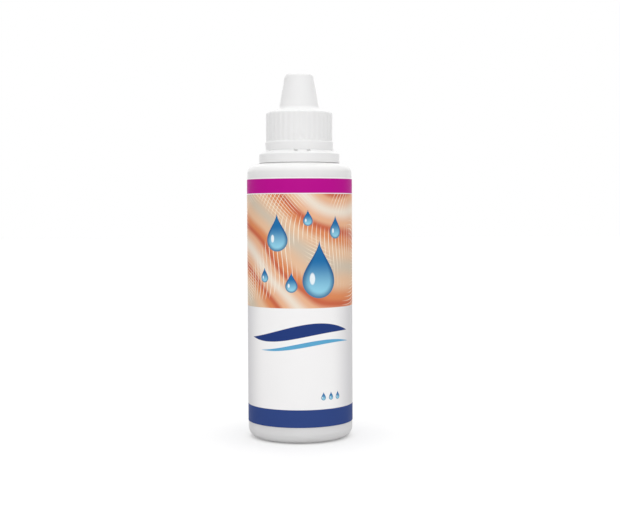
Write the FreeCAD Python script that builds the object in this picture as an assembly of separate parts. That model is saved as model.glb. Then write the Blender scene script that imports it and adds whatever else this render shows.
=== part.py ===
# Travel-size squeeze bottle for contact lens solution: the blown bottle, its wrap label, the
# solution inside, the dropper tip pressed into the neck, the screw cap, and the tamper ring that
# hangs under the cap by thin bridges. All pieces share one upright axis.
# Millimetres, +Z up, origin at the centre of the base, front of the label towards -Y.
import FreeCAD
import Part
import math
import os

# Bottle body
BODY_RADIUS = 19.9
BODY_WALL = 1.0
BASE_FILLET = 3.8
PUSH_UP_DEPTH = 2.0
PUSH_UP_RADIUS = 14.0
PUSH_UP_RUN = 4.5
SHOULDER_HEIGHT = 102.66
SHOULDER_FILLET = 2.8
SHOULDER_SLOPE = 17.5
SHOULDER_LAND = 0.2

# Wrap label
LABEL_FOOT = 6.4
LABEL_BELOW_SHOULDER = 4.16
LABEL_THICKNESS = 0.10
LABEL_GLUE = 0.02
LABEL_SEAM = 1.6

# Solution, about 100 ml at this headspace below the shoulder
HEADSPACE = 10.77
LIQUID_GAP = 0.05

# Neck
NECK_BORE_RADIUS = 8.0
NECK_WALL = 1.5
NECK_LENGTH = 10.65
NECK_STEP = 2.1
THREAD_DEPTH = 1.1
THREAD_CLEARANCE = 0.3

# Retaining bead on the neck, and the tamper ring that it holds down
BEAD_HEIGHT = 0.7
BEAD_RAMP = 1.1
BEAD_CATCH = 0.9
HOOK_THICKNESS = 0.75
RING_RUNNING_GAP = 0.4
RING_SHOULDER_GAP = 0.28
RING_PLAY = 0.25
RING_ROOM = 1.2
RING_WALL = 1.2
RING_FLANGE = 1.53
RING_BEVEL = 1.2
RING_LIP = 0.1
BRIDGE_COUNT = 5
BRIDGE_HEIGHT = 0.06
BRIDGE_WIDTH = 3.2
BRIDGE_THICKNESS = 0.5
BRIDGE_INSET = 0.25
BRIDGE_ROOT = 0.3
BRIDGE_SCORE = 0.02
NOTCH_WIDTH = 1.2
NOTCH_DEPTH = 0.65

# Dropper tip
PLUG_LENGTH = 7.5
PLUG_WALL = 1.2
PLUG_RELIEF = 0.2
PLUG_FIT = 0.01
PLUG_LEAD_IN = 0.8
PLUG_BEAD_HEIGHT = 0.8
PLUG_BEAD_DROP = 2.5
TIP_FLANGE = 1.2
TIP_FLANGE_INSET = 0.1
NOZZLE_HEIGHT = 14.85
NOZZLE_WALL = 1.5
NOZZLE_BASE_GAP = 1.4
NOZZLE_TIP_GAP = 1.6
NOZZLE_CHAMFER = 0.6
ORIFICE_RADIUS = 0.55
ORIFICE_LENGTH = 2.4
ORIFICE_THROAT = 1.2

# Screw cap
CAP_WALL = 1.35
CAP_TOP_WALL = 2.1
CAP_SHOULDER_SLOPE = 12.0
BAND_HEIGHT = 2.95
BAND_CHAMFER = 0.55
BAND_STEP = 0.35
RIB_COUNT = 36
GROOVE_DEPTH = 0.35
RIB_LAND = 0.5
SKIRT_RIM = 0.45
NOSE_BASE_RADIUS = 7.75
NOSE_TOP_RADIUS = 5.2
NOSE_FLARE = 0.7
NOSE_WALL = 1.3
NOSE_TOP_WALL = 1.3
NOSE_HEADROOM = 1.4
NOSE_FILLET = 1.3
SEAL_BEAD_HEIGHT = 0.5
SEAL_BEAD_WIDTH = 0.8
SEAL_GAP = 0.1
PIN_CLEARANCE = 0.12
PIN_REACH = 1.0

# Directions round the axis, in degrees
FRONT = -90.0
BACK = 90.0
CAP_PHASE = 5.0

# How far a cutting solid runs past the face that it opens
OVERRUN = 1.0

AXIS_POINT = FreeCAD.Vector(0, 0, 0)
AXIS = FreeCAD.Vector(0, 0, 1)


def fillet_arc(corner, back, ahead, fillet):
    """Arc that rounds a corner, no longer than the two edges that meet there allow."""
    inward = (back - corner).normalize()
    onward = (ahead - corner).normalize()
    half = inward.getAngle(onward) / 2
    shortest = min((back - corner).Length, (ahead - corner).Length)
    reach = min(fillet / math.tan(half), 0.8 * shortest)
    depth = reach / math.cos(half) - reach * math.tan(half)
    middle = corner + (inward + onward).normalize() * depth
    return Part.Arc(corner + inward * reach, middle, corner + onward * reach)


def outline(corners, fillets={}):
    """Closed face in the XZ plane from corners of radius and height, rounded where a fillet is given."""
    points = [FreeCAD.Vector(radius, 0, height) for radius, height in corners]
    edges = []
    stretch_ends = []
    for i, corner in enumerate(points):
        fillet = fillets.get(corners[i])
        if fillet:
            arc = fillet_arc(corner, points[i - 1], points[(i + 1) % len(points)], fillet)
            edges.append(arc.toShape())
            stretch_ends.append((arc.StartPoint, arc.EndPoint))
        else:
            stretch_ends.append((corner, corner))
    for i, (entry, leaving) in enumerate(stretch_ends):
        edges.append(Part.LineSegment(stretch_ends[i - 1][1], entry).toShape())
    return Part.Face(Part.Wire(Part.__sortEdges__(edges)))


def turned(corners, fillets={}):
    """Solid of revolution about the axis."""
    return outline(corners, fillets).revolve(AXIS_POINT, AXIS, 360)


def turned_arc(corners, start, sweep):
    """Part of a solid of revolution, from a start angle through a sweep, in degrees."""
    section = outline(corners)
    section.rotate(AXIS_POINT, AXIS, start)
    return section.revolve(AXIS_POINT, AXIS, sweep)


def round_pattern(shape, angles):
    """Copies of a shape turned about the axis."""
    copies = [shape.copy() for angle in angles]
    for copy, angle in zip(copies, angles):
        copy.rotate(AXIS_POINT, AXIS, angle)
    return copies


def slope_rise(run, slope):
    """Rise of a slope, in degrees, over a horizontal run."""
    return run * math.tan(math.radians(slope))


# Radii, from the neck outwards
neck_radius = NECK_BORE_RADIUS + NECK_WALL
neck_root_radius = neck_radius + NECK_STEP
flange_radius = neck_radius - TIP_FLANGE_INSET
cap_bore = neck_radius + THREAD_DEPTH + THREAD_CLEARANCE
skirt_radius = cap_bore + CAP_WALL + GROOVE_DEPTH
band_radius = skirt_radius + BAND_STEP
hook_radius = neck_root_radius + RING_RUNNING_GAP
bead_radius = hook_radius + BEAD_CATCH
ring_bore = bead_radius + RING_ROOM
ring_radius = ring_bore + RING_WALL
land_radius = ring_radius + SHOULDER_LAND
reservoir_radius = BODY_RADIUS - BODY_WALL

# Heights, from the shoulder upwards
label_top = SHOULDER_HEIGHT - LABEL_BELOW_SHOULDER
liquid_top = SHOULDER_HEIGHT - HEADSPACE
land_height = SHOULDER_HEIGHT + slope_rise(BODY_RADIUS - land_radius, SHOULDER_SLOPE)
ring_bottom = land_height + RING_SHOULDER_GAP
hook_top = ring_bottom + HOOK_THICKNESS
bead_bottom = hook_top + RING_PLAY
bead_top = bead_bottom + BEAD_HEIGHT
ramp_top = bead_top + BEAD_RAMP
flange_bottom = ramp_top + RING_PLAY
ring_top = flange_bottom + RING_FLANGE
cap_bottom = ring_top + BRIDGE_HEIGHT
neck_top = cap_bottom + NECK_LENGTH
tip_seat = neck_top + TIP_FLANGE
cap_ceiling = tip_seat + SEAL_BEAD_HEIGHT + SEAL_GAP
skirt_top = cap_ceiling + CAP_TOP_WALL
nose_base = skirt_top + slope_rise(skirt_radius - NOSE_BASE_RADIUS, CAP_SHOULDER_SLOPE)
nozzle_top = tip_seat + NOZZLE_HEIGHT
nose_ceiling = nozzle_top + NOSE_HEADROOM
nose_top = nose_ceiling + NOSE_TOP_WALL


def nose_outside(height):
    """Outer radius of the cap's tapered nose at a height."""
    taper = (NOSE_BASE_RADIUS - NOSE_TOP_RADIUS) / (nose_top - nose_base)
    return NOSE_BASE_RADIUS - (height - nose_base) * taper


nose_bore_base = nose_outside(cap_ceiling) - NOSE_WALL
nose_bore_top = nose_outside(nose_ceiling) - NOSE_WALL
nozzle_base_radius = nose_bore_base - NOZZLE_BASE_GAP
nozzle_tip_radius = nose_bore_top - NOZZLE_TIP_GAP


def base_inside(gap):
    """Corners of the bottle's inside from the axis to the wall, a gap clear of the plastic."""
    floor = BODY_WALL + gap
    crown = PUSH_UP_DEPTH + floor
    wall = reservoir_radius - gap
    corner = BASE_FILLET - BODY_WALL
    return [
        (0, crown),
        (PUSH_UP_RADIUS - PUSH_UP_RUN, crown),
        (PUSH_UP_RADIUS, floor),
        (wall - corner, floor),
        (wall, floor + corner),
    ]


def bottle_body():
    """Blown bottle: push-up base, straight wall, sloping shoulder, and neck with its retaining bead."""
    base_corner = (BODY_RADIUS, 0)
    shoulder_corner = (BODY_RADIUS, SHOULDER_HEIGHT)
    outside = turned(
        [
            (0, PUSH_UP_DEPTH),
            (PUSH_UP_RADIUS - PUSH_UP_RUN, PUSH_UP_DEPTH),
            (PUSH_UP_RADIUS, 0),
            base_corner,
            shoulder_corner,
            (land_radius, land_height),
            (neck_root_radius, land_height),
            (neck_root_radius, bead_bottom),
            (bead_radius, bead_bottom),
            (bead_radius, bead_top),
            (neck_radius, ramp_top),
            (neck_radius, neck_top),
            (0, neck_top),
        ],
        {base_corner: BASE_FILLET, shoulder_corner: SHOULDER_FILLET},
    )
    corner = SHOULDER_FILLET - BODY_WALL
    roof = SHOULDER_HEIGHT - BODY_WALL
    inside = turned(
        base_inside(0)
        + [
            (reservoir_radius, roof - corner),
            (reservoir_radius - corner, roof + slope_rise(corner, SHOULDER_SLOPE)),
            (NECK_BORE_RADIUS, land_height - BODY_WALL),
            (NECK_BORE_RADIUS, neck_top + OVERRUN),
            (0, neck_top + OVERRUN),
        ]
    )
    return outside.cut(inside)


def wrap_label():
    """Film label wrapped round the wall, with its two ends a seam apart at the back."""
    inner = BODY_RADIUS + LABEL_GLUE
    outer = inner + LABEL_THICKNESS
    seam = math.degrees(LABEL_SEAM / outer)
    film = [(inner, LABEL_FOOT), (outer, LABEL_FOOT), (outer, label_top), (inner, label_top)]
    return turned_arc(film, BACK + seam / 2, 360 - seam)


def solution():
    """Lens solution standing in the bottle, up to the headspace."""
    return turned(base_inside(LIQUID_GAP) + [(reservoir_radius - LIQUID_GAP, liquid_top), (0, liquid_top)])


def dropper_tip():
    """Soft plug with a sealing bead, a flange that sits on the neck, and a nozzle with a fine orifice."""
    plug_bottom = neck_top - PLUG_LENGTH
    plug_radius = NECK_BORE_RADIUS - PLUG_RELIEF
    bead_middle = neck_top - PLUG_BEAD_DROP
    outside = turned(
        [
            (0, plug_bottom),
            (plug_radius - PLUG_LEAD_IN, plug_bottom),
            (plug_radius, plug_bottom + PLUG_LEAD_IN),
            (plug_radius, bead_middle - PLUG_BEAD_HEIGHT / 2),
            (NECK_BORE_RADIUS - PLUG_FIT, bead_middle),
            (plug_radius, bead_middle + PLUG_BEAD_HEIGHT / 2),
            (plug_radius, neck_top),
            (flange_radius, neck_top),
            (flange_radius, tip_seat),
            (nozzle_base_radius, tip_seat),
            (nozzle_tip_radius, nozzle_top - NOZZLE_CHAMFER),
            (nozzle_tip_radius - NOZZLE_CHAMFER, nozzle_top),
            (0, nozzle_top),
        ]
    )
    plug_bore = plug_radius - PLUG_WALL
    throat = nozzle_top - ORIFICE_LENGTH
    bore = turned(
        [
            (0, plug_bottom - OVERRUN),
            (plug_bore, plug_bottom - OVERRUN),
            (plug_bore, neck_top),
            (nozzle_base_radius - NOZZLE_WALL, tip_seat),
            (nozzle_tip_radius - NOZZLE_WALL, throat - ORIFICE_THROAT),
            (ORIFICE_RADIUS, throat),
            (ORIFICE_RADIUS, nozzle_top + OVERRUN),
            (0, nozzle_top + OVERRUN),
        ]
    )
    return outside.cut(bore)


def screw_cap():
    """Cap with a ribbed skirt and smooth band, and inside it a seal bead and a pin for the orifice."""
    band_top = cap_bottom + BAND_HEIGHT
    groove_bottom = band_top + BAND_CHAMFER
    skirt_chamfer = GROOVE_DEPTH + SKIRT_RIM
    rim_height = skirt_top + slope_rise(skirt_chamfer, CAP_SHOULDER_SLOPE)
    flare_top = nose_base + NOSE_FLARE
    nose_corner = (NOSE_TOP_RADIUS, nose_top)
    outside = turned(
        [
            (0, cap_bottom),
            (band_radius, cap_bottom),
            (band_radius, band_top),
            (skirt_radius, groove_bottom),
            (skirt_radius, rim_height - skirt_chamfer),
            (skirt_radius - skirt_chamfer, rim_height),
            (NOSE_BASE_RADIUS + NOSE_FLARE, nose_base - slope_rise(NOSE_FLARE, CAP_SHOULDER_SLOPE)),
            (nose_outside(flare_top), flare_top),
            nose_corner,
            (0, nose_top),
        ],
        {nose_corner: NOSE_FILLET},
    )
    pin_radius = ORIFICE_RADIUS - PIN_CLEARANCE
    pin_end = nozzle_top - PIN_REACH
    inside = turned(
        [
            (0, cap_bottom - OVERRUN),
            (cap_bore, cap_bottom - OVERRUN),
            (cap_bore, cap_ceiling),
            (flange_radius, cap_ceiling),
            (flange_radius - SEAL_BEAD_WIDTH / 2, cap_ceiling - SEAL_BEAD_HEIGHT),
            (flange_radius - SEAL_BEAD_WIDTH, cap_ceiling),
            (nose_bore_base, cap_ceiling),
            (nose_bore_top, nose_ceiling),
            (pin_radius, nose_ceiling),
            (pin_radius, pin_end),
            (0, pin_end),
        ]
    )
    groove_step = 360 / RIB_COUNT
    groove_width = math.radians(groove_step) * skirt_radius - RIB_LAND
    groove_mouth = skirt_radius + OVERRUN
    mouth_half = groove_width / 2 * (OVERRUN + GROOVE_DEPTH) / GROOVE_DEPTH
    groove_section = Part.makePolygon(
        [
            FreeCAD.Vector(skirt_radius - GROOVE_DEPTH, 0, groove_bottom),
            FreeCAD.Vector(groove_mouth, -mouth_half, groove_bottom),
            FreeCAD.Vector(groove_mouth, mouth_half, groove_bottom),
            FreeCAD.Vector(skirt_radius - GROOVE_DEPTH, 0, groove_bottom),
        ]
    )
    groove = Part.Face(groove_section).extrude(AXIS * (nose_base - groove_bottom))
    groove_angles = [FRONT + CAP_PHASE + (i + 0.5) * groove_step for i in range(RIB_COUNT)]
    return outside.cut([inside, *round_pattern(groove, groove_angles)])


def tamper_ring():
    """Ring hooked under the neck bead, with a bridge to the cap between each pair of notches."""
    ring = turned(
        [
            (ring_radius, ring_bottom),
            (ring_radius, ring_top - RING_BEVEL),
            (band_radius + RING_LIP, ring_top),
            (cap_bore, ring_top),
            (cap_bore, flange_bottom),
            (ring_bore, flange_bottom),
            (ring_bore, hook_top),
            (hook_radius, hook_top),
            (hook_radius, ring_bottom),
        ]
    )
    bridge_outer = band_radius - BRIDGE_INSET
    bridge_inner = bridge_outer - BRIDGE_THICKNESS
    bridge_low = ring_top - BRIDGE_ROOT
    bridge_high = cap_bottom - BRIDGE_SCORE
    bridge_section = [
        (bridge_inner, bridge_low),
        (bridge_outer, bridge_low),
        (bridge_outer, bridge_high),
        (bridge_inner, bridge_high),
    ]
    bridge_sweep = math.degrees(BRIDGE_WIDTH / bridge_outer)
    bridge = turned_arc(bridge_section, -bridge_sweep / 2, bridge_sweep)
    bridge_angles = [FRONT + CAP_PHASE + i * 360 / BRIDGE_COUNT for i in range(BRIDGE_COUNT)]
    notch = Part.makeBox(
        ring_radius - bridge_inner,
        NOTCH_WIDTH,
        NOTCH_DEPTH + OVERRUN,
        FreeCAD.Vector(bridge_inner, -NOTCH_WIDTH / 2, ring_top - NOTCH_DEPTH),
    )
    notch_offset = math.degrees((BRIDGE_WIDTH + NOTCH_WIDTH) / 2 / bridge_outer)
    notch_angles = [angle + side * notch_offset for angle in bridge_angles for side in (-1, 1)]
    return ring.cut(round_pattern(notch, notch_angles)).fuse(round_pattern(bridge, bridge_angles))


os.makedirs("parts", exist_ok=True)
for piece in (bottle_body, wrap_label, solution, dropper_tip, screw_cap, tamper_ring):
    (solid,) = piece().removeSplitter().Solids
    solid.exportStep("parts/" + piece.__name__ + ".step")
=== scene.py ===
# Travel bottle of contact lens solution, put together from the bottle upwards: blown bottle, solution,
# dropper tip, wrap label, tamper ring, screw cap. Then the studio that it stands in.
import bmesh
import bpy
import math
from mathutils import Matrix


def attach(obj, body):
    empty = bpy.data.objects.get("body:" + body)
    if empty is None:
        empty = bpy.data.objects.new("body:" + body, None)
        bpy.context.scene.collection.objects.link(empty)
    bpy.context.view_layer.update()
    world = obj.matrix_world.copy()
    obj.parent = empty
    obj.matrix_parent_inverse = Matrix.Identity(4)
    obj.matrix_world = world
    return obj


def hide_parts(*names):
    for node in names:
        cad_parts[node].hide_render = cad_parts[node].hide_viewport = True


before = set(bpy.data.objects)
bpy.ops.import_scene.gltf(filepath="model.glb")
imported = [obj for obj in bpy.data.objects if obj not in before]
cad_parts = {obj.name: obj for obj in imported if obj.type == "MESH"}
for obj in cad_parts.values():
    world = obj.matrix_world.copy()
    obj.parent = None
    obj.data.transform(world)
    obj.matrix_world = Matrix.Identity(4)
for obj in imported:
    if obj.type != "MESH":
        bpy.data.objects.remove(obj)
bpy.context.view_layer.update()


# Bottle body. Squeeze bottle of white polyethylene, blow-moulded in two halves, so the base has a pinch-off
# line across its push-up and the wall a faint parting line on either side. The neck has a screw thread for
# the cap and a bead that the tamper ring catches under. Below the fill line the wall's colour is darkened,
# painted shade that stands in for the liquid behind the translucent wall.
def turned_shell(outline, steps, closed=False):
    """Turns a half outline, of (radius, height, rounding) corners in millimetres, about the upright axis."""
    shell = bmesh.new()
    corners = [shell.verts.new((radius, 0, height)) for radius, height, rounding in outline]
    for start, end in zip(corners, corners[1:]):
        shell.edges.new((start, end))
    if closed:
        shell.edges.new((corners[-1], corners[0]))
    for corner, (radius, height, rounding) in zip(corners, outline):
        if rounding:
            bmesh.ops.bevel(shell, geom=[corner], offset=rounding, offset_type="OFFSET", segments=6,
                            profile=0.5, affect="VERTICES", material=-1)
    bmesh.ops.spin(shell, geom=shell.verts[:] + shell.edges[:], cent=(0, 0, 0), axis=(0, 0, 1),
                   angle=2 * math.pi, steps=steps, use_merge=True)
    bmesh.ops.remove_doubles(shell, verts=shell.verts[:], dist=0.002)
    bmesh.ops.recalc_face_normals(shell, faces=shell.faces[:])
    return shell


def screw_thread(shell, section, start_angle, start_height, turns, lead, steps_per_turn=72, run_out=14):
    """Winds a thread section of (radius, height) corners up the axis. Both its ends run out into the root."""
    corners = [shell.verts.new((radius, 0, start_height + height)) for radius, height in section]
    end = [shell.faces.new(corners), *corners]
    bmesh.ops.rotate(shell, cent=(0, 0, 0), matrix=Matrix.Rotation(start_angle, 3, "Z"), verts=corners)
    rings = [corners]
    steps = round(turns * steps_per_turn)
    turn_step = 2 * math.pi * turns / steps
    rise_step = lead * turns / steps
    for step in range(steps):
        end = bmesh.ops.spin(shell, geom=end, cent=(0, 0, 0), axis=(0, 0, 1), angle=turn_step, steps=1,
                             dvec=(0, 0, rise_step))["geom_last"]
        rings.append([vert for vert in end if isinstance(vert, bmesh.types.BMVert)])
    root = section[0][0]
    for step, ring in enumerate(rings):
        rise = min(1, (step + 1) / run_out, (steps - step + 1) / run_out)
        for vert in ring:
            radius = vert.co.xy.length
            vert.co.xy *= (root + (radius - root) * rise) / radius
    thread_faces = {face for ring in rings for vert in ring for face in vert.link_faces}
    bmesh.ops.recalc_face_normals(shell, faces=list(thread_faces))


MILLIMETRE = 0.001
SHARP_ANGLE = math.radians(38)


def finished_piece(shell, name, finish, slot, body, *nodes):
    """Brings a shell from millimetres to metres, as a smooth piece that rides on its body."""
    bmesh.ops.scale(shell, vec=(MILLIMETRE, MILLIMETRE, MILLIMETRE), verts=shell.verts[:])
    mesh = bpy.data.meshes.new(name)
    shell.to_mesh(mesh)
    shell.free()
    mesh.materials.append(finish)
    mesh.shade_smooth()
    mesh.set_sharp_from_angle(angle=SHARP_ANGLE)
    piece = bpy.data.objects.new(name, mesh)
    bpy.context.collection.objects.link(piece)
    even_shading = piece.modifiers.new("even_shading", "WEIGHTED_NORMAL")
    even_shading.keep_sharp = True
    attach(piece, body)
    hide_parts(*nodes)


# Places of the colour sockets on a mix node.
MIX_SHARE = 0
MIX_BELOW = 6
MIX_ABOVE = 7
MIX_RESULT = 2


def moulded_plastic(name, pale, deep, polished, dull, grain):
    """White plastic with a cloudy tone, an uneven polish and its mould's fine grain, grain in metres deep."""
    finish = bpy.data.materials.new(name)
    finish.use_nodes = True
    nodes, links = finish.node_tree.nodes, finish.node_tree.links
    shader = nodes["Principled BSDF"]
    place = nodes.new("ShaderNodeTexCoord").outputs["Object"]
    cloud = nodes.new("ShaderNodeTexNoise")
    cloud.inputs["Scale"].default_value = 90
    cloud.inputs["Detail"].default_value = 4
    links.new(place, cloud.inputs["Vector"])
    tone = nodes.new("ShaderNodeMix")
    tone.data_type = "RGBA"
    tone.inputs[MIX_BELOW].default_value = (*deep, 1)
    tone.inputs[MIX_ABOVE].default_value = (*pale, 1)
    links.new(cloud.outputs["Fac"], tone.inputs[MIX_SHARE])
    links.new(tone.outputs[MIX_RESULT], shader.inputs["Base Color"])
    smear = nodes.new("ShaderNodeTexNoise")
    smear.inputs["Scale"].default_value = 420
    smear.inputs["Detail"].default_value = 6
    links.new(place, smear.inputs["Vector"])
    polish = nodes.new("ShaderNodeMapRange")
    polish.inputs["From Min"].default_value = 0.3
    polish.inputs["From Max"].default_value = 0.7
    polish.inputs["To Min"].default_value = polished
    polish.inputs["To Max"].default_value = dull
    links.new(smear.outputs["Fac"], polish.inputs["Value"])
    links.new(polish.outputs["Result"], shader.inputs["Roughness"])
    speckle = nodes.new("ShaderNodeTexNoise")
    speckle.inputs["Scale"].default_value = 2600
    speckle.inputs["Detail"].default_value = 3
    links.new(place, speckle.inputs["Vector"])
    relief = nodes.new("ShaderNodeBump")
    relief.inputs["Strength"].default_value = 0.5
    relief.inputs["Distance"].default_value = grain
    links.new(speckle.outputs["Fac"], relief.inputs["Height"])
    links.new(relief.outputs["Normal"], shader.inputs["Normal"])
    shader.inputs["Specular IOR Level"].default_value = 0.4
    shader.inputs["IOR"].default_value = 1.5
    shader.inputs["Subsurface Weight"].default_value = 0.3
    shader.inputs["Subsurface Radius"].default_value = (1.0, 1.0, 1.0)
    shader.inputs["Subsurface Scale"].default_value = 0.0006
    return finish


BOTTLE_OUTLINE = [
    (0, 2.0, 0), (9.5, 2.0, 1.2), (14.0, 0, 0.9), (19.9, 0, 3.8),  # push-up and standing ring
    (19.9, 102.66, 2.05), (15.5, 104.047, 0.5), (11.6, 104.047, 0.4),  # wall and shoulder
    (11.6, 105.327, 0.1), (12.9, 105.327, 0.2), (12.9, 106.027, 0.25), (9.5, 107.127, 0.6),  # bead
    (9.5, 119.617, 0.3), (8.0, 119.617, 0.35), (8.0, 103.047, 0.8),  # neck and its bore
    (17.1, 102.228, 0.8), (18.9, 99.86, 0.8), (18.9, 3.8, 1.2),  # inside of shoulder and wall
    (16.1, 1.0, 0.8), (14.0, 1.0, 0.8), (9.5, 3.0, 1.0), (0, 3.0, 0),  # inside of the base
]
BOTTLE_STEPS = 192
PINCH_SIZE = (17.0, 0.55, 0.7)
PINCH_HEIGHT = 2.0
PINCH_ROUNDING = 0.18
NECK_THREAD = [(9.3, -0.85), (10.6, -0.35), (10.6, 0.35), (9.3, 0.85)]
NECK_THREAD_START = math.radians(-60)
NECK_THREAD_TURNS = 2.2
THREAD_FOOT = 110.6
THREAD_LEAD = 3.0
PARTING_EDGE = 0.00016
PARTING_CREST = 0.00004
PARTING_RELIEF = 0.00006
DRY_ABOVE = 0.0930
WET_BELOW = 0.0905
PAINTED_WET_SHADE = (0.89, 0.89, 0.895, 1)

bottle_shell = turned_shell(BOTTLE_OUTLINE, BOTTLE_STEPS)
pinch = bmesh.ops.create_cube(bottle_shell, size=1)["verts"]
bmesh.ops.scale(bottle_shell, vec=PINCH_SIZE, verts=pinch)
bmesh.ops.translate(bottle_shell, vec=(0, 0, PINCH_HEIGHT), verts=pinch)
pinch_edges = {edge for vert in pinch for edge in vert.link_edges}
bmesh.ops.bevel(bottle_shell, geom=list(pinch_edges), offset=PINCH_ROUNDING, offset_type="OFFSET", segments=3,
                profile=0.5, affect="EDGES", material=-1)
screw_thread(bottle_shell, NECK_THREAD, NECK_THREAD_START, THREAD_FOOT, NECK_THREAD_TURNS, THREAD_LEAD)

bottle_white = moulded_plastic("bottle_white", pale=(0.825, 0.82, 0.816), deep=(0.79, 0.785, 0.781),
                               polished=0.34, dull=0.46, grain=0.00004)
nodes, links = bottle_white.node_tree.nodes, bottle_white.node_tree.links
blown_wall = nodes["Principled BSDF"]
blown_wall.inputs["Subsurface Weight"].default_value = 0.6
blown_wall.inputs["Subsurface Scale"].default_value = 0.002
halves = nodes.new("ShaderNodeSeparateXYZ")
links.new(nodes["Texture Coordinate"].outputs["Object"], halves.inputs["Vector"])
off_parting = nodes.new("ShaderNodeMath")
off_parting.operation = "ABSOLUTE"
links.new(halves.outputs["Y"], off_parting.inputs[0])
flash = nodes.new("ShaderNodeMapRange")
flash.interpolation_type = "SMOOTHSTEP"
flash.inputs["From Min"].default_value = PARTING_EDGE
flash.inputs["From Max"].default_value = PARTING_CREST
links.new(off_parting.outputs["Value"], flash.inputs["Value"])
parting_line = nodes.new("ShaderNodeBump")
parting_line.inputs["Distance"].default_value = PARTING_RELIEF
links.new(flash.outputs["Result"], parting_line.inputs["Height"])
links.new(nodes["Bump"].outputs["Normal"], parting_line.inputs["Normal"])
links.new(parting_line.outputs["Normal"], blown_wall.inputs["Normal"])
# Painted shade: the wall's colour is multiplied darker below the fill line, for the liquid behind it.
painted_shade_share = nodes.new("ShaderNodeMapRange")
painted_shade_share.interpolation_type = "SMOOTHSTEP"
painted_shade_share.inputs["From Min"].default_value = DRY_ABOVE
painted_shade_share.inputs["From Max"].default_value = WET_BELOW
links.new(halves.outputs["Z"], painted_shade_share.inputs["Value"])
painted_shade_mix = nodes.new("ShaderNodeMix")
painted_shade_mix.data_type = "RGBA"
painted_shade_mix.blend_type = "MULTIPLY"
painted_shade_mix.inputs[MIX_ABOVE].default_value = PAINTED_WET_SHADE
links.new(painted_shade_share.outputs["Result"], painted_shade_mix.inputs[MIX_SHARE])
links.new(nodes["Mix"].outputs[MIX_RESULT], painted_shade_mix.inputs[MIX_BELOW])
links.new(painted_shade_mix.outputs[MIX_RESULT], blown_wall.inputs["Base Color"])
finished_piece(bottle_shell, "squeeze_bottle", bottle_white, "bottle_white", "bottle", "bottle_body")


# Solution. Clear watery lens solution that stands in the bottle up to the shoulder's headspace. It shows only
# where the white wall lets light through, so the solid keeps its own shape and gets the look of a liquid.
solution_clear = bpy.data.materials.new("solution_clear")
solution_clear.use_nodes = True
nodes, links = solution_clear.node_tree.nodes, solution_clear.node_tree.links
liquid = nodes["Principled BSDF"]
liquid.inputs["Roughness"].default_value = 0.02
liquid.inputs["IOR"].default_value = 1.336
liquid.inputs["Transmission Weight"].default_value = 1.0
streaks = nodes.new("ShaderNodeTexNoise")
streaks.inputs["Scale"].default_value = 60
links.new(nodes.new("ShaderNodeTexCoord").outputs["Object"], streaks.inputs["Vector"])
tint = nodes.new("ShaderNodeMix")
tint.data_type = "RGBA"
tint.inputs[MIX_BELOW].default_value = (0.90, 0.95, 0.97, 1)
tint.inputs[MIX_ABOVE].default_value = (0.95, 0.98, 0.99, 1)
links.new(streaks.outputs["Fac"], tint.inputs[MIX_SHARE])
links.new(tint.outputs[MIX_RESULT], liquid.inputs["Base Color"])
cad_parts["solution"].data.materials.clear()
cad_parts["solution"].data.materials.append(solution_clear)


# Dropper tip. Soft natural polyethylene plug, injection-moulded and pressed into the neck, where its bead
# seals. Its flange sits on the rim, and the tapered nozzle ends in a fine orifice that forms the drops.
DROPPER_OUTLINE = [
    (6.6, 112.117, 0.2), (7.0, 112.117, 0.2), (7.8, 112.917, 0.4),  # foot of the plug
    (7.8, 116.717, 0.2), (7.99, 117.117, 0.15), (7.8, 117.517, 0.2),  # sealing bead
    (7.8, 119.667, 0.1), (9.4, 119.667, 0.15), (9.4, 120.817, 0.3), (5.628, 120.817, 0.7),  # flange
    (2.54, 135.067, 0.4), (1.94, 135.667, 0.3), (0.55, 135.667, 0.12),  # end of the nozzle
    (0.55, 133.267, 0.3), (1.04, 132.067, 0.3), (4.128, 120.817, 0.6), (6.6, 119.667, 0.6),  # bore
]
DROPPER_STEPS = 128

tip_natural = moulded_plastic("tip_natural", pale=(0.86, 0.87, 0.86), deep=(0.80, 0.82, 0.81),
                              polished=0.26, dull=0.38, grain=0.00002)
soft_tip = tip_natural.node_tree.nodes["Principled BSDF"]
soft_tip.inputs["Subsurface Weight"].default_value = 0.4
soft_tip.inputs["Subsurface Scale"].default_value = 0.0008
dropper_shell = turned_shell(DROPPER_OUTLINE, DROPPER_STEPS, closed=True)
finished_piece(dropper_shell, "dropper_nozzle", tip_natural, "tip_natural", "bottle", "dropper_tip")


# Wrap label. Printed plastic film with a light gloss, glued round the straight wall, its two ends a narrow
# seam apart at the back. The print has a magenta band, a warm panel of flowing ribbons with water drops, a
# white panel with two waves, and a navy band at the foot. The white panel fades to pale grey towards the
# sides and back, which is painted shade.
LABEL_INNER = 19.92
LABEL_OUTER = 20.02
LABEL_FOOT = 6.4
LABEL_TOP = 98.5
LABEL_STEPS = 192
SEAM_WIDTH = 1.6
SEAM_ANGLE = SEAM_WIDTH / LABEL_OUTER

film = bmesh.new()
film_end = [film.verts.new((radius, 0, height)) for radius, height in (
    (LABEL_INNER, LABEL_FOOT), (LABEL_OUTER, LABEL_FOOT), (LABEL_OUTER, LABEL_TOP), (LABEL_INNER, LABEL_TOP))]
strip = [film.faces.new(film_end), *film_end]
beside_seam = Matrix.Rotation(math.pi / 2 + SEAM_ANGLE / 2, 3, "Z")
bmesh.ops.rotate(film, cent=(0, 0, 0), matrix=beside_seam, verts=film_end)
bmesh.ops.spin(film, geom=strip, cent=(0, 0, 0), axis=(0, 0, 1), angle=2 * math.pi - SEAM_ANGLE,
               steps=LABEL_STEPS)
bmesh.ops.recalc_face_normals(film, faces=film.faces[:])

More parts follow.
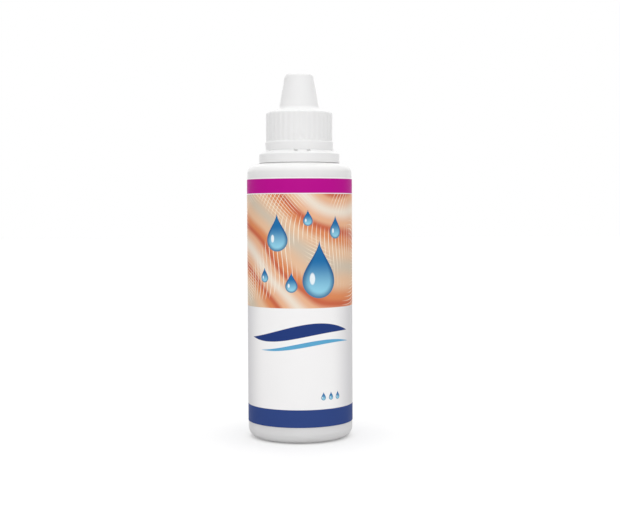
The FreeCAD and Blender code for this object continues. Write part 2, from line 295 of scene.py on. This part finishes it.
label_print = bpy.data.materials.new("label_print")
label_print.use_nodes = True
nodes, links = label_print.node_tree.nodes, label_print.node_tree.links


def ink(red, green, blue):
    """Ink colour from its 0 to 255 values."""
    return (*[((value / 255 + 0.055) / 1.055) ** 2.4 for value in (red, green, blue)], 1)


def feed(socket, value):
    """Gives a socket another socket's value, or a plain one."""
    if isinstance(value, bpy.types.NodeSocket):
        links.new(value, socket)
    else:
        socket.default_value = value


def reckon(operation, *values):
    """One sum of the print's layout, from sockets or plain numbers."""
    node = nodes.new("ShaderNodeMath")
    node.operation = operation
    for socket, value in zip(node.inputs, values):
        feed(socket, value)
    return node.outputs["Value"]


def fade(value, clear, full):
    """Mask that goes softly from 0 where the value is clear to 1 where it is full."""
    node = nodes.new("ShaderNodeMapRange")
    node.interpolation_type = "SMOOTHSTEP"
    feed(node.inputs["Value"], value)
    feed(node.inputs["From Min"], clear)
    feed(node.inputs["From Max"], full)
    return node.outputs["Result"]


def overprint(below, above, mask):
    """Lays one ink over another where the mask is 1."""
    node = nodes.new("ShaderNodeMix")
    node.data_type = "RGBA"
    feed(node.inputs[MIX_SHARE], mask)
    feed(node.inputs[MIX_BELOW], below)
    feed(node.inputs[MIX_ABOVE], above)
    return node.outputs[MIX_RESULT]


def wavy(across, up, size):
    """Soft uneven field over the label, from 0 to 1, with forms about a size wide, in millimetres."""
    node = nodes.new("ShaderNodeTexNoise")
    node.inputs["Scale"].default_value = 1 / size
    node.inputs["Detail"].default_value = 1
    spot = nodes.new("ShaderNodeCombineXYZ")
    links.new(across, spot.inputs["X"])
    links.new(up, spot.inputs["Y"])
    links.new(spot.outputs["Vector"], node.inputs["Vector"])
    return node.outputs["Fac"]


PRINT_EDGE = 0.06
WATER_FOOT = ink(152, 214, 236)
WATER_HEAD = ink(38, 112, 170)
WATER_RIM = ink(22, 74, 128)
WATER_GLINT = ink(246, 251, 253)


def printed_drop(ground, across, up, centre, radius):
    """Water drop with its point upwards, pale at its foot, dark at its rim, and a glint at the left."""
    side = reckon("SUBTRACT", across, centre[0])
    rise = reckon("SUBTRACT", up, centre[1])
    point = 2.4 * radius
    narrowing = reckon("MAXIMUM", fade(rise, point, 0.0), 0.0005)
    width = reckon("DIVIDE", side, narrowing)
    sag = reckon("MINIMUM", rise, 0.0)
    span = reckon("ADD", reckon("POWER", width, 2.0), reckon("POWER", sag, 2.0))
    reach = reckon("DIVIDE", reckon("SQRT", span), radius)
    water = overprint(WATER_FOOT, WATER_HEAD, fade(rise, -0.9 * radius, 1.3 * radius))
    water = overprint(water, WATER_RIM, reckon("MULTIPLY", fade(reach, 0.6, 1.0), 0.75))
    glint_side = reckon("DIVIDE", reckon("ADD", side, 0.42 * radius), 0.17 * radius)
    glint_rise = reckon("DIVIDE", reckon("SUBTRACT", rise, 0.12 * radius), 0.36 * radius)
    glint = reckon("ADD", reckon("POWER", glint_side, 2.0), reckon("POWER", glint_rise, 2.0))
    water = overprint(water, WATER_GLINT, reckon("MULTIPLY", fade(glint, 1.2, 0.5), 0.9))
    return overprint(ground, water, fade(reach, 1.0 + PRINT_EDGE / radius, 1.0 - PRINT_EDGE / radius))


def printed_wave(ground, across, up, colour, height, swing, length, shift, thickness, middle, reach):
    """Wave across the panel that tapers to nothing at both ends."""
    phase = reckon("DIVIDE", reckon("SUBTRACT", across, shift), length)
    crest = reckon("MULTIPLY", reckon("SINE", phase), swing)
    away = reckon("ABSOLUTE", reckon("SUBTRACT", reckon("SUBTRACT", up, height), crest))
    along = reckon("POWER", reckon("DIVIDE", reckon("SUBTRACT", across, middle), reach), 2.0)
    half = reckon("MULTIPLY", reckon("SUBTRACT", 1.0, along), thickness / 2)
    return overprint(ground, colour, fade(reckon("SUBTRACT", away, half), PRINT_EDGE, -PRINT_EDGE))


position = nodes.new("ShaderNodeSeparateXYZ")
links.new(nodes.new("ShaderNodeTexCoord").outputs["Object"], position.inputs["Vector"])
turn = reckon("ARCTAN2", position.outputs["X"], reckon("MULTIPLY", position.outputs["Y"], -1.0))
across = reckon("MULTIPLY", turn, LABEL_OUTER)
up = reckon("MULTIPLY", position.outputs["Z"], 1 / MILLIMETRE)

# Warm panel: ribbons, two sets of fine lines in patches, and drops given as ((across, up), radius).
RIBBON_WIDTH = 21.0
RIBBON_LEAN = 0.45
RIBBON_END_TONES = (ink(212, 196, 176), ink(240, 226, 210))
RIBBON_TONES = (
    (0.28, ink(232, 192, 158)),
    (0.5, ink(222, 140, 94)),
    (0.62, ink(204, 106, 76)),
    (0.76, ink(234, 182, 146)),
)
SWIRL_LENGTH = 12.0
SWIRL_PHASE = 0.8
SWIRL_HEIGHT = 6.0
DRIFT_SIZE = 34.0
DRIFT_HEIGHT = 15.0
SWEEP_INK = ink(250, 236, 216)
SWEEP_PITCH = 0.7
SWEEP_SIZE = 30.0
SWEEP_HEIGHT = 9.0
CROSS_INK = ink(252, 242, 226)
CROSS_PITCH = 0.75
CROSS_RUN = 0.9
CROSS_LEAN = -0.35
BOW_LENGTH = 11.0
BOW_WIDTH = 5.0
SWEEP_PATCH = 24.0
CROSS_PATCH = 22.0
WATER_DROPS = (
    ((7.5, 60.5), 6.4),
    ((-8.5, 75.5), 4.2),
    ((-3.0, 58.5), 2.3),
    ((14.5, 78.5), 2.6),
    ((-14.0, 61.5), 1.7),
    ((3.2, 82.5), 1.8),
)
swirl_phase = reckon("ADD", reckon("DIVIDE", across, SWIRL_LENGTH), SWIRL_PHASE)
swirl = reckon("MULTIPLY", reckon("SINE", swirl_phase), SWIRL_HEIGHT)
lean = reckon("MULTIPLY", across, RIBBON_LEAN)
drift = reckon("MULTIPLY", wavy(across, up, DRIFT_SIZE), DRIFT_HEIGHT)
ribbon = reckon("ADD", reckon("ADD", up, swirl), reckon("ADD", lean, drift))
warm = nodes.new("ShaderNodeValToRGB")
warm.color_ramp.interpolation = "EASE"
for stop, colour in RIBBON_TONES:
    warm.color_ramp.elements.new(stop).color = colour
warm.color_ramp.elements[0].color = RIBBON_END_TONES[0]
warm.color_ramp.elements[-1].color = RIBBON_END_TONES[1]
links.new(reckon("PINGPONG", reckon("DIVIDE", ribbon, RIBBON_WIDTH), 1.0), warm.inputs["Fac"])
panel = warm.outputs["Color"]
flow = reckon("ADD", ribbon, reckon("MULTIPLY", wavy(across, up, SWEEP_SIZE), SWEEP_HEIGHT))
sweep_lines = fade(reckon("PINGPONG", flow, SWEEP_PITCH), 0.2, 0.06)
sweep_patches = fade(wavy(across, up, SWEEP_PATCH), 0.5, 0.62)
panel = overprint(panel, SWEEP_INK, reckon("MULTIPLY", sweep_lines, sweep_patches))
bow = reckon("MULTIPLY", reckon("SINE", reckon("DIVIDE", up, BOW_LENGTH)), BOW_WIDTH)
bowed = reckon("ADD", reckon("MULTIPLY", across, CROSS_RUN), bow)
crossing = reckon("ADD", bowed, reckon("MULTIPLY", up, CROSS_LEAN))
cross_lines = fade(reckon("PINGPONG", crossing, CROSS_PITCH), 0.17, 0.05)
cross_patches = fade(wavy(up, across, CROSS_PATCH), 0.5, 0.6)
panel = overprint(panel, CROSS_INK, reckon("MULTIPLY", cross_lines, cross_patches))
for centre, radius in WATER_DROPS:
    panel = printed_drop(panel, across, up, centre, radius)

# White panel: pale grey sides that are painted shade, two waves, and a row of small drops.
PAPER = ink(247, 246, 246)
PAINTED_SIDE_SHADE = ink(221, 220, 222)
NAVY_WAVE = ink(40, 62, 124)
SKY_WAVE = ink(96, 170, 210)
WHITE_MIDDLE = -1.5
WHITE_HALF = 13.0
SIDE_SHADE_FULL = 26.0
SMALL_DROPS = ((9.0, 17.2), (12.2, 17.2), (15.4, 17.2))
SMALL_DROP_RADIUS = 0.95
off_middle = reckon("ABSOLUTE", reckon("SUBTRACT", across, WHITE_MIDDLE))
# Painted shade: the paper fades to grey away from the front of the label.
face = overprint(PAPER, PAINTED_SIDE_SHADE, fade(off_middle, WHITE_HALF, SIDE_SHADE_FULL))
face = printed_wave(face, across, up, NAVY_WAVE, height=41.0, swing=1.9, length=9.0, shift=-4.0,
                    thickness=4.6, middle=0.0, reach=21.0)
face = printed_wave(face, across, up, SKY_WAVE, height=36.4, swing=1.7, length=9.5, shift=-1.0,
                    thickness=1.7, middle=3.0, reach=19.0)
for centre in SMALL_DROPS:
    face = printed_drop(face, across, up, centre, SMALL_DROP_RADIUS)


def printed_above(ground, colour, height, softness):
    """Lays a colour over the ground from a height upwards, with a soft edge, in millimetres."""
    return overprint(ground, colour, fade(up, height - softness, height + softness))


# Bands of the print, from the foot upwards. A hairline of bare film parts the warm panel from the magenta.
NAVY = ink(52, 73, 132)
MAGENTA = ink(186, 18, 142)
NAVY_TOP = 12.95
WHITE_TOP = 50.45
WARM_TOP = 92.4
MAGENTA_FOOT = 92.71
MAGENTA_TOP = 98.05
BAND_EDGE = 0.04
MAGENTA_EDGE = 0.03
print_colour = printed_above(NAVY, face, NAVY_TOP, BAND_EDGE)
print_colour = printed_above(print_colour, panel, WHITE_TOP, BAND_EDGE)
print_colour = printed_above(print_colour, PAPER, WARM_TOP, BAND_EDGE)
print_colour = printed_above(print_colour, MAGENTA, MAGENTA_FOOT, MAGENTA_EDGE)
print_colour = printed_above(print_colour, PAPER, MAGENTA_TOP, MAGENTA_EDGE)

GLOSS_PATCH = 6.0
GLOSS_SPREAD = 0.16
GLOSS_LEAST_ROUGH = 0.34
RIPPLE_SIZE = 4.0
film_gloss = nodes["Principled BSDF"]
links.new(print_colour, film_gloss.inputs["Base Color"])
film_gloss.inputs["Specular IOR Level"].default_value = 0.03
uneven_gloss = reckon("MULTIPLY", wavy(across, up, GLOSS_PATCH), GLOSS_SPREAD)
feed(film_gloss.inputs["Roughness"], reckon("ADD", uneven_gloss, GLOSS_LEAST_ROUGH))
ripple = nodes.new("ShaderNodeBump")
ripple.inputs["Strength"].default_value = 0.3
ripple.inputs["Distance"].default_value = 0.00005
links.new(wavy(across, up, RIPPLE_SIZE), ripple.inputs["Height"])
links.new(ripple.outputs["Normal"], film_gloss.inputs["Normal"])
finished_piece(film, "printed_label", label_print, "label_print", "bottle", "wrap_label")


# Tamper ring. White polypropylene ring, moulded in one with the cap and joined to it by thin bridges that
# tear at the first opening. Its hook snaps under the bead of the neck, and notches flank each bridge.
RING_OUTLINE = [
    (15.3, 104.227, 0.1), (15.3, 107.707, 0.3),  # outside
    (14.269, 108.257, 0), (13.05, 108.947, 0.03),  # bevel, with a corner at the notches' floor
    (12.25, 108.947, 0), (12.2, 108.947, 0), (10.9, 108.947, 0.12),  # top, with the notches' inner end
    (10.9, 107.377, 0.1), (14.1, 107.377, 0.25), (14.1, 105.077, 0.2),  # room for the bead
    (12.0, 105.077, 0.1), (12.0, 104.227, 0.12),  # hook
]
RING_STEPS = 360
BRIDGE_COUNT = 5
BRIDGE_PITCH = 2 * math.pi / BRIDGE_COUNT
FIRST_BRIDGE = math.radians(-85)
BRIDGE_SECTION = [(12.2, 108.607), (12.7, 108.607), (12.7, 108.947), (12.2, 108.947)]
BRIDGE_SWEEP = math.radians(14.4)
NOTCH_FLOOR = 108.257
NOTCH_INNER = 12.23
NOTCH_START = math.radians(7.3)
NOTCH_END = math.radians(12.6)

ring_shell = turned_shell(RING_OUTLINE, RING_STEPS, closed=True)
for vert in ring_shell.verts:
    past_first = math.atan2(vert.co.y, vert.co.x) - FIRST_BRIDGE
    off_bridge = abs((past_first + BRIDGE_PITCH / 2) % BRIDGE_PITCH - BRIDGE_PITCH / 2)
    beside_bridge = NOTCH_START < off_bridge < NOTCH_END
    if beside_bridge and vert.co.xy.length > NOTCH_INNER and vert.co.z > NOTCH_FLOOR:
        vert.co.z = NOTCH_FLOOR
for count in range(BRIDGE_COUNT):
    bridge = [ring_shell.verts.new((radius, 0, height)) for radius, height in BRIDGE_SECTION]
    start = FIRST_BRIDGE + count * BRIDGE_PITCH - BRIDGE_SWEEP / 2
    bmesh.ops.rotate(ring_shell, cent=(0, 0, 0), matrix=Matrix.Rotation(start, 3, "Z"), verts=bridge)
    stub = [ring_shell.faces.new(bridge), *bridge]
    bmesh.ops.spin(ring_shell, geom=stub, cent=(0, 0, 0), axis=(0, 0, 1), angle=BRIDGE_SWEEP, steps=8)
bmesh.ops.recalc_face_normals(ring_shell, faces=ring_shell.faces[:])

cap_white = moulded_plastic("cap_white", pale=(0.84, 0.838, 0.838), deep=(0.81, 0.808, 0.808),
                            polished=0.36, dull=0.5, grain=0.00003)
finished_piece(ring_shell, "tear_off_ring", cap_white, "cap_white", "ring", "tamper_ring")


# Screw cap. White polypropylene, injection-moulded: a ribbed skirt for the fingers over a smooth band, and a
# hollow tapered nose over the nozzle. Inside are the thread, a seal bead and a pin that closes the orifice.
CAP_OUTLINE = [
    (0, 138.24, 0), (0.7, 138.24, 0.15), (0.9, 138.367, 0.1), (5.2, 138.367, 1.4),  # gate mark and nose end
    (7.75, 124.548, 1.2), (12.6, 123.517, 0.85), (12.6, 112.7, 0), (12.6, 112.467, 0.05),  # slope and skirt
    (12.95, 111.917, 0.08), (12.95, 108.967, 0.02), (10.9, 108.967, 0.2),  # band
    (10.9, 121.417, 0.4), (9.4, 121.417, 0.05), (9.0, 120.917, 0.12), (8.6, 121.417, 0.05),  # bore, seal bead
    (7.028, 121.417, 0.4), (4.14, 137.067, 0.6),  # hollow of the nose
    (0.43, 137.067, 0.15), (0.43, 134.667, 0.2), (0, 134.667, 0),  # pin
]
CAP_STEPS = 360
RIB_COUNT = 36
RIB_PITCH = 2 * math.pi / RIB_COUNT
GROOVE_HALF = math.radians(4)
GROOVE_DEPTH = 0.15
SKIRT_FOOT = 112.6
SKIRT_RADIUS = 12.6
RIM_RADIUS = 12.1
CAP_THREAD = [(11.05, 0.8), (9.85, 0.3), (9.85, -0.3), (11.05, -0.8)]
CAP_THREAD_START = math.radians(120)
CAP_THREAD_TURNS = 1.8

cap_shell = turned_shell(CAP_OUTLINE, CAP_STEPS)
for vert in cap_shell.verts:
    radius = vert.co.xy.length
    if vert.co.z > SKIRT_FOOT and radius > RIM_RADIUS:
        off_groove = abs((math.atan2(vert.co.y, vert.co.x) + RIB_PITCH / 2) % RIB_PITCH - RIB_PITCH / 2)
        cut = GROOVE_DEPTH * (0.5 + 0.5 * math.cos(math.pi * min(1, off_groove / GROOVE_HALF)))
        vert.co.xy *= 1 - cut * min(1, (radius - RIM_RADIUS) / (SKIRT_RADIUS - RIM_RADIUS)) / radius
screw_thread(cap_shell, CAP_THREAD, CAP_THREAD_START, THREAD_FOOT, CAP_THREAD_TURNS, THREAD_LEAD)
finished_piece(cap_shell, "ribbed_cap", cap_white, "cap_white", "cap", "screw_cap")


# Studio. White sweep under a broad soft light straight overhead, the only one that casts a shadow, with fills
# in front and behind. The camera stands at the photo's angle, a little above the bottle's middle.
FLOOR_HALF = 3.0
FLOOR_GREY = (0.7, 0.7, 0.7, 1)
FLOOR_LIFT = 0.245
AIR_ON_PIECES = 0.5
AIR_SEEN = 1.0
STUDIO_LIGHTS = (
    # name, bearing, height and spread in degrees, strength, whether it casts a shadow
    ("overhead_light", 0, 90, 80, 1.72, True),
    ("front_light", 4, 16, 60, 0.84, False),
    ("back_light", 180, 16, 60, 0.5, False),
)
CAMERA_PLACE = (0.0039, -0.445, 0.0868)
CAMERA_DIP = 2.38
CAMERA_ROLL = -0.26
CAMERA_LENS = 67.6
CAMERA_SENSOR = 36

floor_shell = bmesh.new()
bmesh.ops.create_grid(floor_shell, x_segments=1, y_segments=1, size=FLOOR_HALF)
floor_mesh = bpy.data.meshes.new("studio_floor")
floor_shell.to_mesh(floor_mesh)
floor_shell.free()
floor = bpy.data.objects.new("studio_floor", floor_mesh)
bpy.context.collection.objects.link(floor)
sweep = bpy.data.materials.new("studio_sweep")
sweep.use_nodes = True
nodes, links = sweep.node_tree.nodes, sweep.node_tree.links
nodes.remove(nodes["Principled BSDF"])
card = nodes.new("ShaderNodeBsdfDiffuse")
card.inputs["Color"].default_value = FLOOR_GREY
lift = nodes.new("ShaderNodeEmission")
seen = nodes.new("ShaderNodeLightPath")
lift_seen = nodes.new("ShaderNodeMath")
lift_seen.operation = "MULTIPLY"
lift_seen.inputs[1].default_value = FLOOR_LIFT
links.new(seen.outputs["Is Camera Ray"], lift_seen.inputs[0])
links.new(lift_seen.outputs["Value"], lift.inputs["Strength"])
both = nodes.new("ShaderNodeAddShader")
links.new(card.outputs["BSDF"], both.inputs[0])
links.new(lift.outputs["Emission"], both.inputs[1])
links.new(both.outputs["Shader"], nodes["Material Output"].inputs["Surface"])
floor_mesh.materials.append(sweep)

world = bpy.data.worlds.new("studio_air")
world.use_nodes = True
bpy.context.scene.world = world
nodes, links = world.node_tree.nodes, world.node_tree.links
air = nodes["Background"]
air.inputs["Color"].default_value = (1, 1, 1, 1)
seen = nodes.new("ShaderNodeLightPath")
mirrored = nodes.new("ShaderNodeMath")
mirrored.operation = "MAXIMUM"
links.new(seen.outputs["Is Glossy Ray"], mirrored.inputs[0])
links.new(seen.outputs["Is Transmission Ray"], mirrored.inputs[1])
looked_at = nodes.new("ShaderNodeMath")
looked_at.operation = "MAXIMUM"
links.new(seen.outputs["Is Camera Ray"], looked_at.inputs[0])
links.new(mirrored.outputs["Value"], looked_at.inputs[1])
level = nodes.new("ShaderNodeMapRange")
level.inputs["To Min"].default_value = AIR_ON_PIECES
level.inputs["To Max"].default_value = AIR_SEEN
links.new(looked_at.outputs["Value"], level.inputs["Value"])
links.new(level.outputs["Result"], air.inputs["Strength"])

for name, bearing, height, spread, strength, casts_shadow in STUDIO_LIGHTS:
    lamp = bpy.data.lights.new(name, "SUN")
    lamp.energy = strength
    lamp.angle = math.radians(spread)
    lamp.use_shadow = casts_shadow
    soft_light = bpy.data.objects.new(name, lamp)
    soft_light.rotation_euler = (math.radians(90 - height), 0, math.radians(bearing))
    bpy.context.collection.objects.link(soft_light)

lens = bpy.data.cameras.new("camera")
lens.sensor_width = CAMERA_SENSOR
lens.lens = CAMERA_LENS
camera = bpy.data.objects.new("camera", lens)
camera.matrix_world = (
    Matrix.Translation(CAMERA_PLACE)
    @ Matrix.Rotation(math.radians(90 - CAMERA_DIP), 4, "X")
    @ Matrix.Rotation(math.radians(CAMERA_ROLL), 4, "Z")
)
bpy.context.collection.objects.link(camera)
bpy.context.scene.camera = camera
bpy.context.scene.view_settings.view_transform = "Standard"
